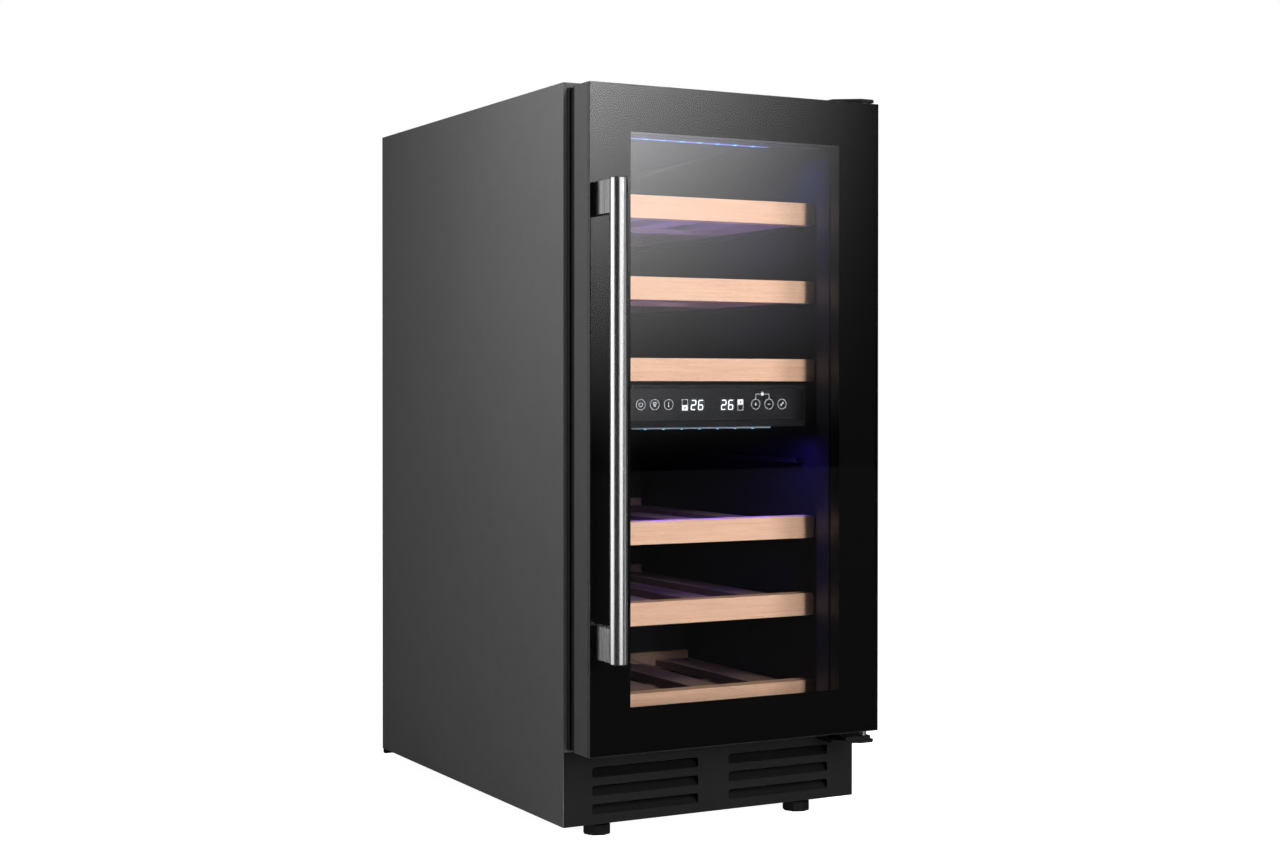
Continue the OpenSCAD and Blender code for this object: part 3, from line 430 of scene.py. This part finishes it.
def stroke(a, b, width):
    """Outline of a straight stroke with square ends"""
    direction = (Vector(b) - Vector(a)).normalized()
    side = Vector((-direction.y, direction.x)) * width / 2
    start, end = Vector(a), Vector(b)
    return [tuple(corner) for corner in (start + side, end + side, end - side, start - side)]


def glass_print():
    """The black border printed on the back of the outer pane"""
    low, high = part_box("door_glass_outer")
    border_side = 51.5 * MM
    border_end = 49.7 * MM
    sink = 0.2 * MM
    thickness = 0.1 * MM
    outer = rectangle(low.x + sink, high.x - sink, low.z + sink, high.z - sink)
    inner = rectangle(
        low.x + border_side, high.x - border_side, low.z + border_end, high.z - border_end)
    back = high.y - sink

    def build(work):
        add_ring(work, outer, inner, back - thickness, back)

    return new_piece(
        "glass_print", build, "door", printed_black("printed_black"))


# Which of a digit's seven segments are lit: top, upper left, upper right, middle,
# lower left, lower right, bottom
SEGMENTS = {"2": "1011101", "6": "1101111"}
DIGIT_W = 5.6 * MM
DIGIT_H = 10.4 * MM
DIGIT_SLANT = 0.08
DIGIT_PITCH = 9.5 * MM
DIGIT_LINE_W = 1.15 * MM
DIGIT_GAP = 0.35 * MM
# Left ends of the two read-outs, from the panel's middle, and the drop of their middle
READOUTS = (-17.4 * MM, 22.6 * MM)
READOUT_DROP = 0.6 * MM
WINDOW_MARGIN = (1.2 * MM, 1.0 * MM)
WINDOW_W = 18.6 * MM
WINDOW_ROOM = 2.6 * MM

SYMBOL_T = 0.12 * MM
RING_R = 5.9 * MM
LINE_W = 0.36 * MM
KEY_LINE_W = 0.5 * MM
# Distance of each ringed key from the panel's middle, in millimetres
KEYS = {"power": -82.5, "lamp": -64.6, "scale": -46.6, "plus": 69.0, "minus": 87.0, "light": 104.9}
LOCK_RISE = 11.6 * MM
ZONE_W = 7.6 * MM
ZONE_H = 12.4 * MM
ZONE_SIGNS = ((-29.2 * MM, True), (44.4 * MM, False))
DOTS_X = 12.4 * MM
DOT_STEPS = (-3.6, -2.0, 2.0, 3.6)
DOT_R = 0.28 * MM


def digit_strokes(x, z, number):
    """Segment outlines of one slanted digit with its lower left corner at x, z"""
    gap = DIGIT_GAP
    half = DIGIT_H / 2
    left, right = 0.0, DIGIT_W

    def level(height):
        return (left + gap, height), (right - gap, height)

    def upright(side, low, high):
        return (side, high - gap), (side, low + gap)

    ends = [
        level(DIGIT_H), upright(left, half, DIGIT_H), upright(right, half, DIGIT_H),
        level(half), upright(left, 0.0, half), upright(right, 0.0, half), level(0.0)]
    for lit, (a, b) in zip(SEGMENTS[number], ends):
        if lit == "1":
            outline = stroke(a, b, DIGIT_LINE_W)
            yield [(x + px + DIGIT_SLANT * pz, z + pz) for px, pz in outline]


def panel_place():
    """Middle of the touch panel and the depth of its front face"""
    low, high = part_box("control_panel")
    return (low.x + high.x) / 2, (low.z + high.z) / 2, low.y


def panel_digits():
    """The two temperature read-outs"""
    middle_x, middle_z, front = panel_place()
    base = middle_z - DIGIT_H / 2 - READOUT_DROP

    def build(work):
        for start in READOUTS:
            for i, number in enumerate("26"):
                for outline in digit_strokes(middle_x + start + i * DIGIT_PITCH, base, number):
                    add_prism(work, outline, front - SYMBOL_T, front - SYMBOL_T / 4)

    return new_piece(
        "panel_digits", build, "cabinet",
        glowing("display_white", (0.9, 0.95, 1.0), 1.6))


def panel_windows():
    """The slightly lighter display windows behind the read-outs"""
    middle_x, middle_z, front = panel_place()
    margin_x, margin_z = WINDOW_MARGIN
    base = middle_z - DIGIT_H / 2 - READOUT_DROP - margin_z
    top = base + DIGIT_H + WINDOW_ROOM

    def build(work):
        for start in READOUTS:
            x = middle_x + start - margin_x
            outline = rectangle(x, x + WINDOW_W, base, top)
            add_prism(work, outline, front - SYMBOL_T / 5, front - SYMBOL_T / 10)

    return new_piece(
        "panel_windows", build, "cabinet",
        coated("display_window", (0.06, 0.062, 0.068), 0.3, grain=0.0004))


def key_strokes(kind, x, z):
    """Strokes of the symbol inside a key's ring, in millimetres from its middle"""
    turns = [math.radians(degrees) for degrees in range(130, 411, 28)]
    arc = [(2.4 * math.cos(t), 2.4 * math.sin(t)) for t in turns]
    shapes = {
        "power": [*zip(arc, arc[1:]), ((0, 0.6), (0, 3.0))],
        "lamp": [
            ((-2.2, 2.2), (-0.6, -2.6)), ((2.2, 2.2), (0.6, -2.6)),
            ((-2.2, 2.2), (2.2, 2.2)), ((0, 1.2), (0, -1.4))],
        "scale": [((0, 3.0), (0, -2.4)), ((-0.9, -2.4), (0.9, -2.4)), ((-0.7, -1.7), (0.7, -1.7))],
        "plus": [((-1.9, 0), (1.9, 0)), ((0, -1.9), (0, 1.9))],
        "minus": [((-1.9, 0), (1.9, 0))],
        "light": [
            ((-1.6, -2.0), (1.8, 2.4)), ((-1.9, 0.6), (-0.4, -2.2)), ((0.2, 2.6), (2.4, 0.6))],
    }
    for a, b in shapes[kind]:
        yield stroke((x + a[0] * MM, z + a[1] * MM), (x + b[0] * MM, z + b[1] * MM), KEY_LINE_W)


def panel_icons():
    """Ringed touch keys, the lock sign over two of them and the two zone signs"""
    middle_x, middle_z, front = panel_place()
    lock_x = middle_x + (KEYS["plus"] + KEYS["minus"]) / 2 * MM
    lock_z = middle_z + LOCK_RISE
    face = front - SYMBOL_T

    def zone_sign(work, x, filled_low):
        z0 = middle_z - ZONE_H / 2 - READOUT_DROP
        outer = rectangle(x, x + ZONE_W, z0, z0 + ZONE_H)
        inner = rectangle(x + LINE_W, x + ZONE_W - LINE_W, z0 + LINE_W, z0 + ZONE_H - LINE_W)
        add_ring(work, outer, inner, face, front)
        half = z0 + ZONE_H / 2
        low, high = (z0, half) if filled_low else (half, z0 + ZONE_H)
        hole = rectangle(x + 2.9 * MM, x + 4.7 * MM, low + 2.2 * MM, high - 2.2 * MM)
        add_ring(work, rectangle(x, x + ZONE_W, low, high), hole, face, front)

    def key(work, kind, x):
        ring = [circle(x, middle_z, radius) for radius in (RING_R, RING_R - LINE_W)]
        add_ring(work, *ring, face, front)
        for outline in key_strokes(kind, x, middle_z):
            add_prism(work, outline, face, front)

    def padlock(work):
        top = lock_z + 1.1 * MM
        half_w = 1.8 * MM
        body = rectangle(lock_x - half_w, lock_x + half_w, lock_z - 1.7 * MM, top)
        add_prism(work, body, face, front)
        turns = (0, .8, 1.57, 2.34, math.pi)
        outer, inner = [
            [(lock_x + wide * MM * math.cos(t), top + tall * MM * math.sin(t)) for t in turns]
            for wide, tall in ((1.3, 1.7), (0.8, 1.2))]
        add_prism(work, outer + inner[::-1], face, front)

    def build(work):
        for kind, offset in KEYS.items():
            key(work, kind, middle_x + offset * MM)
        for side in (-1, 1):
            x = lock_x + side * 9.0 * MM
            upright = stroke((x, middle_z + RING_R), (x, lock_z), LINE_W)
            level = stroke((x, lock_z), (lock_x + side * 2.8 * MM, lock_z), LINE_W)
            add_prism(work, upright, face, front)
            add_prism(work, level, face, front)
        padlock(work)
        for offset, filled_low in ZONE_SIGNS:
            zone_sign(work, middle_x + offset, filled_low)
        for step in DOT_STEPS:
            dot = circle(middle_x + DOTS_X, middle_z + step * MM, DOT_R, 10)
            add_prism(work, dot, face, front)

    return new_piece(
        "panel_icons", build, "cabinet",
        glowing("icon_white", (0.8, 0.82, 0.85), 0.85))


def led_diodes():
    """Small domed diodes under both light strips"""
    low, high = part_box("led_strips")
    divider_low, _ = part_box("zone_divider")
    y = (low.y + high.y) / 2
    roof_side = high.z - 16 * MM
    lower_side = divider_low.z - 1.8 * MM
    each_side = 3
    radius = 1.6 * MM
    flatness = 0.6

    def build(work):
        for z in (roof_side, lower_side):
            for i in range(-each_side, each_side + 1):
                ball = bmesh.ops.create_uvsphere(
                    work, u_segments=12, v_segments=8, radius=radius)
                for vertex in ball["verts"]:
                    vertex.co.z = z + min(0.0, vertex.co.z) * flatness
                    vertex.co.x += i * LED_PITCH
                    vertex.co.y += y

    return new_piece(
        "led_diodes", build, "cabinet", glowing("diode", (0.12, 0.62, 1.0), 1.6))


def screw_recess_shade():
    """Dark crosses laid into the heads of the four screws that hold the rear cover: painted shade
    standing for their cross recesses
    """
    cover_low, cover_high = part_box("compressor_cover")
    inset_x = 25 * MM
    rows = (cover_low.z + 19.7 * MM, cover_high.z - 10.9 * MM)
    arm = 2.4 * MM
    width = 0.8 * MM
    depth = 0.06 * MM
    back = cad_high.y

    def build(work):
        for side in (-1, 1):
            x = side * (cad_high.x - inset_x)
            for z in rows:
                for a, b in (((x - arm, z), (x + arm, z)), ((x, z - arm), (x, z + arm))):
                    add_prism(work, stroke(a, b, width), back - depth, back - depth / 6)

    # The crosses are painted shade in the black coat, not cut recesses
    return new_piece(
        "screw_recess_shade", build, "cabinet", MATERIALS["black_steel"])


# ---- Floor, lights and camera ----------------------------------------------

def white_floor():
    """Pale floor with a glow of its own for the camera, so it runs out to white"""
    mesh = bpy.data.meshes.new("floor")
    half = 14.0
    own_glow = 0.98
    corners = [(-half, -half, 0), (half, -half, 0), (half, half, 0), (-half, half, 0)]
    mesh.from_pydata(corners, [], [(0, 1, 2, 3)])
    floor = bpy.data.objects.new("floor", mesh)
    bpy.context.scene.collection.objects.link(floor)
    g = Graph("floor")
    tone = g.ramp(g.noise(2.0), (0.3, (0.78, 0.78, 0.78)), (0.7, (0.8, 0.8, 0.8)))
    seen = g.node("LightPath").outputs["Is Camera Ray"]
    glow = g.math("MULTIPLY", seen, own_glow)
    mesh.materials.append(g.finish(g.principled(
        Base_Color=tone, Roughness=0.8, Specular_IOR_Level=0.1,
        Emission_Color=(1.0, 1.0, 1.0), Emission_Strength=glow)))
    floor.visible_glossy = False


WORLD_LEVELS = {"seen": 1.0, "fill": 0.06, "mirrored": 0.03}


def soft_world():
    """White for the camera, nearly dark for the light that fills in and for mirrored rays"""
    world = bpy.data.worlds.new("studio")
    bpy.context.scene.world = world
    world.use_nodes = True
    tree = world.node_tree
    tree.nodes.clear()
    path = tree.nodes.new("ShaderNodeLightPath")
    shades = {}
    for name, level in WORLD_LEVELS.items():
        shades[name] = tree.nodes.new("ShaderNodeBackground")
        shades[name].inputs["Color"].default_value = (level, level, level, 1)
    camera_or_fill = tree.nodes.new("ShaderNodeMixShader")
    mirror = tree.nodes.new("ShaderNodeMixShader")
    output = tree.nodes.new("ShaderNodeOutputWorld")
    tree.links.new(path.outputs["Is Glossy Ray"], mirror.inputs[0])
    tree.links.new(shades["fill"].outputs[0], mirror.inputs[1])
    tree.links.new(shades["mirrored"].outputs[0], mirror.inputs[2])
    tree.links.new(path.outputs["Is Camera Ray"], camera_or_fill.inputs[0])
    tree.links.new(mirror.outputs[0], camera_or_fill.inputs[1])
    tree.links.new(shades["seen"].outputs[0], camera_or_fill.inputs[2])
    tree.links.new(camera_or_fill.outputs[0], output.inputs["Surface"])


def soft_box(name, place, target, width, height, power, mirrored=True, lit=True):
    """Area lamp that the camera does not see

    mirrored says whether gloss shows it, lit whether it lights matt surfaces.
    """
    lamp = bpy.data.lights.new(name, "AREA")
    lamp.shape = "RECTANGLE"
    lamp.size = width
    lamp.size_y = height
    lamp.energy = power
    thing = bpy.data.objects.new(name, lamp)
    thing.location = place
    thing.rotation_euler = (Vector(target) - Vector(place)).to_track_quat("-Z", "Y").to_euler()
    thing.visible_camera = False
    thing.visible_glossy = mirrored
    thing.visible_diffuse = lit
    bpy.context.scene.collection.objects.link(thing)
    return thing


# The card stands in front at the right: its left, right, low and high edges and its depth
CARD_X = (1.05, 2.14)
CARD_Z = (0.28, 1.32)
CARD_Y = -2.7
CARD_GLOW = 9.8
CARD_FADE_ACROSS = 1.75
CARD_FADE_DOWN = 2.0


def haze_card():
    """A graded white card that the door mirrors, bright at its upper left, fading right and down"""
    g = Graph("haze_card")
    spot = g.node("TexCoord").outputs["Generated"]
    parts = g.node("SeparateXYZ", {"Vector": spot})
    across = g.math("POWER", g.spread(parts.outputs[0], 1.0, 0.0), CARD_FADE_ACROSS)
    up = g.math("POWER", g.spread(parts.outputs[2], 0.0, 1.0), CARD_FADE_DOWN)
    strength = g.math("MULTIPLY", g.math("MULTIPLY", across, up), CARD_GLOW)
    shader = g.node("Emission", {"Color": (1, 1, 1), "Strength": strength})
    mesh = bpy.data.meshes.new("haze_card")
    corners = [(x, 0, z) for x, z in rectangle(*CARD_X, *CARD_Z)]
    mesh.from_pydata(corners, [], [(0, 1, 2, 3)])
    mesh.materials.append(g.finish(shader))
    card = bpy.data.objects.new("haze_card", mesh)
    card.location.y = CARD_Y
    card.visible_camera = False
    card.visible_diffuse = False
    card.visible_shadow = False
    bpy.context.scene.collection.objects.link(card)


FRONT_AIM = (0, -0.2, 0.4)
FRONT_AIM_HIGH = (0, -0.2, 0.5)
HANDLE_AIM = (-0.17, -0.3, 0.45)
# Lamps that light: name, place, target, width, height, power in watts
LIGHTING = (
    ("side_near", (-0.7, -0.28, 1.0), (-0.19, -0.38, 0.7), 0.3, 0.3, 7.0),
    ("front_low", (0.1, -2.6, 0.7), FRONT_AIM, 0.5, 0.8, 26),
    ("front_high", (0.05, -1.9, 1.5), FRONT_AIM_HIGH, 0.4, 0.6, 36),
    ("front_right", (0.9, -1.9, 0.7), FRONT_AIM, 0.7, 1.4, 26),
    ("overhead", (0, 0, 3.4), (0, 0, 0), 4.0, 4.0, 14),
)
# Lamps that only show in gloss, for the stripes along the handle's bar
STRIPES = (
    ("bar_left", (-2.2, 0.75, 0.8), HANDLE_AIM, 2.5, 2.0, 24),
    ("bar_front", (0.0, -2.9, 0.7), HANDLE_AIM, 1.9, 2.0, 17),
    ("bar_right", (2.12, -1.52, 0.6), HANDLE_AIM, 1.3, 2.0, 3),
)


def lights():
    """Studio lamps round the cooler"""
    for lamp in LIGHTING:
        soft_box(*lamp, mirrored=False)
    for lamp in STRIPES:
        soft_box(*lamp, lit=False)


def inside_lights():
    """The blue of the two light strips, and its bounce onto the upper shelves' undersides"""
    low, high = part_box("led_strips")
    divider_low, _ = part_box("zone_divider")
    y = (low.y + high.y) / 2
    down, up = -1.0, 1.0
    width = 260 * MM
    strip_depth = 14 * MM
    bounce_depth = 160 * MM
    bounces = ((1, 0.55, (0.25, 0.2, 1.0)), (2, 0.3, (0.5, 0.3, 1.0)))

    def glow(name, y, z, way, depth, power, colour):
        lamp = soft_box(name, (0, y, z), (0, y, z + way), width, depth, power, mirrored=False)
        lamp.data.color = colour

    glow("upper_strip", y, high.z - 24 * MM, down, strip_depth, 1.0, (0.12, 0.2, 1.0))
    glow("lower_strip", y, divider_low.z - 10 * MM, down, strip_depth, 0.85, (0.1, 0.06, 1.0))
    for number, power, colour in bounces:
        shelf_low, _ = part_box(f"shelf_{number}_rack")
        place = (shelf_low.y + 120 * MM, shelf_low.z - 55 * MM)
        glow(f"under_shelf_{number}", *place, up, bounce_depth, power, colour)


CAMERA_X = -1.1436
CAMERA_TO_FACE = 1.8375
CAMERA_Z = 0.492
CAMERA_DIP = math.radians(0.387)
CAMERA_TURN = math.radians(-26.81)


def photo_camera():
    """The photograph's viewpoint, placed from the cabinet's front face"""
    camera = bpy.data.cameras.new("camera")
    camera.sensor_width = 36.0
    camera.lens = 54.13
    camera.shift_x = 0.0763
    camera.shift_y = -0.0185
    thing = bpy.data.objects.new("camera", camera)
    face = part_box("side_panel_left")[0].y
    thing.location = (CAMERA_X, face - CAMERA_TO_FACE, CAMERA_Z)
    thing.rotation_euler = (math.radians(90) - CAMERA_DIP, 0, CAMERA_TURN)
    bpy.context.scene.collection.objects.link(thing)
    bpy.context.scene.camera = thing
    bpy.context.scene.view_settings.view_transform = "Standard"


dress_frame()
glass_print()
panel_windows()
panel_digits()
panel_icons()
led_diodes()
screw_recess_shade()
white_floor()
soft_world()
haze_card()
lights()
inside_lights()
photo_camera()
